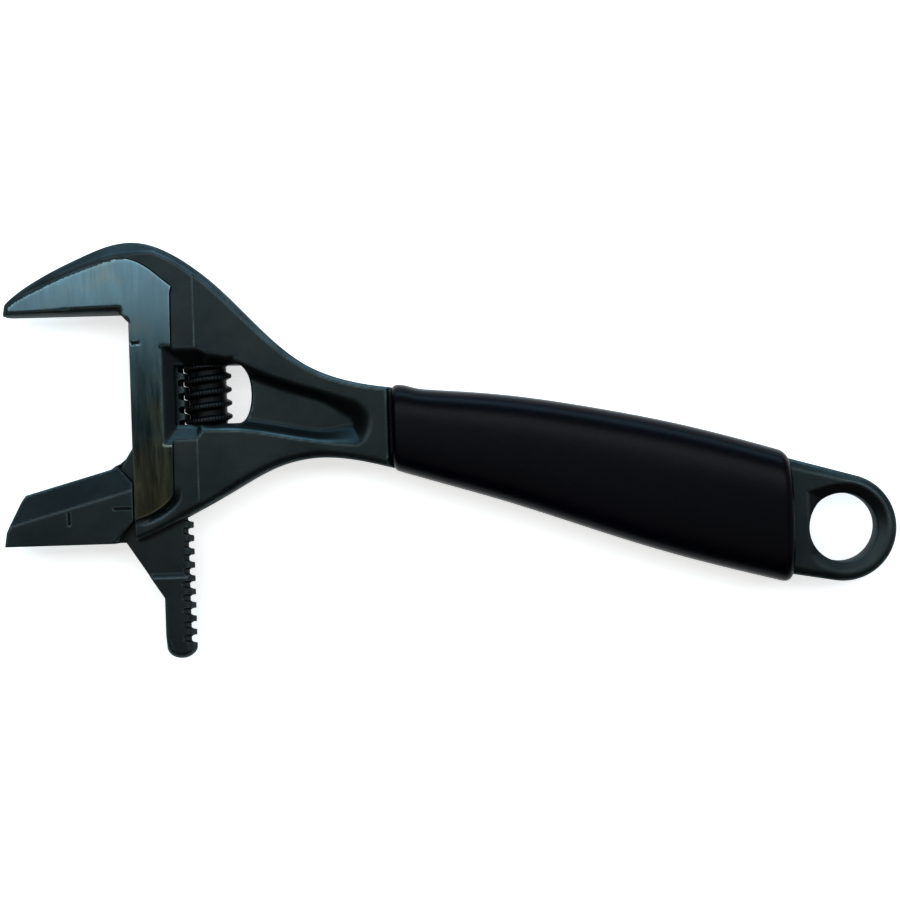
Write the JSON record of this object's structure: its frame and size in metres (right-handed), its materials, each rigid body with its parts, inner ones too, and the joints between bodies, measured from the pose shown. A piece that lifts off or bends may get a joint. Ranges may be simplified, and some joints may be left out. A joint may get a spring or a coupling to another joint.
{
  "type": "adjustable wrench",
  "caption": "Adjustable wrench with an extra-wide opening: forged head with a sliding reversible jaw, worm adjuster, soft grip and hanging ring.",
  "frame": {"origin": "centre of the hanging hole, on the middle plane", "axes": "+X from the jaws towards the hanging ring, square to the way the jaw slides; +Y the way the movable jaw slides to close; +Z the thickness"},
  "size_m": [0.2098, 0.0983, 0.0188],
  "materials": {
    "forged_steel": "phosphated forging, satin",
    "jaw_steel": "phosphated forging with ground flanks, satin",
    "worm_steel": "black oxide, satin",
    "spring_steel": "drawn wire",
    "grip_rubber": "soft matt thermoplastic rubber"
  },
  "bodies": {
    "wrench_body": {"body": "forged_steel", "grip": "grip_rubber", "worm_pin": "worm_steel", "worm_spring": "spring_steel"},
    "jaw": {"movable_jaw": "jaw_steel"},
    "worm": {"worm": "worm_steel"}
  },
  "joints": [
    {"name": "jaw_slide", "type": "slide", "parent": "wrench_body", "child": "jaw", "axis": [0, 1, 0], "range_m": [-0.006, 0.027]},
    {"name": "worm_spin", "type": "hinge", "parent": "wrench_body", "child": "worm", "pos_m": [-0.149, 0.036, 0], "axis": [0, 1, 0], "range_deg": [-3070, 690]}
  ],
  "couplings": [
    {"joint": "worm_spin", "follows": "jaw_slide", "rad_per_m": -1979}
  ]
}
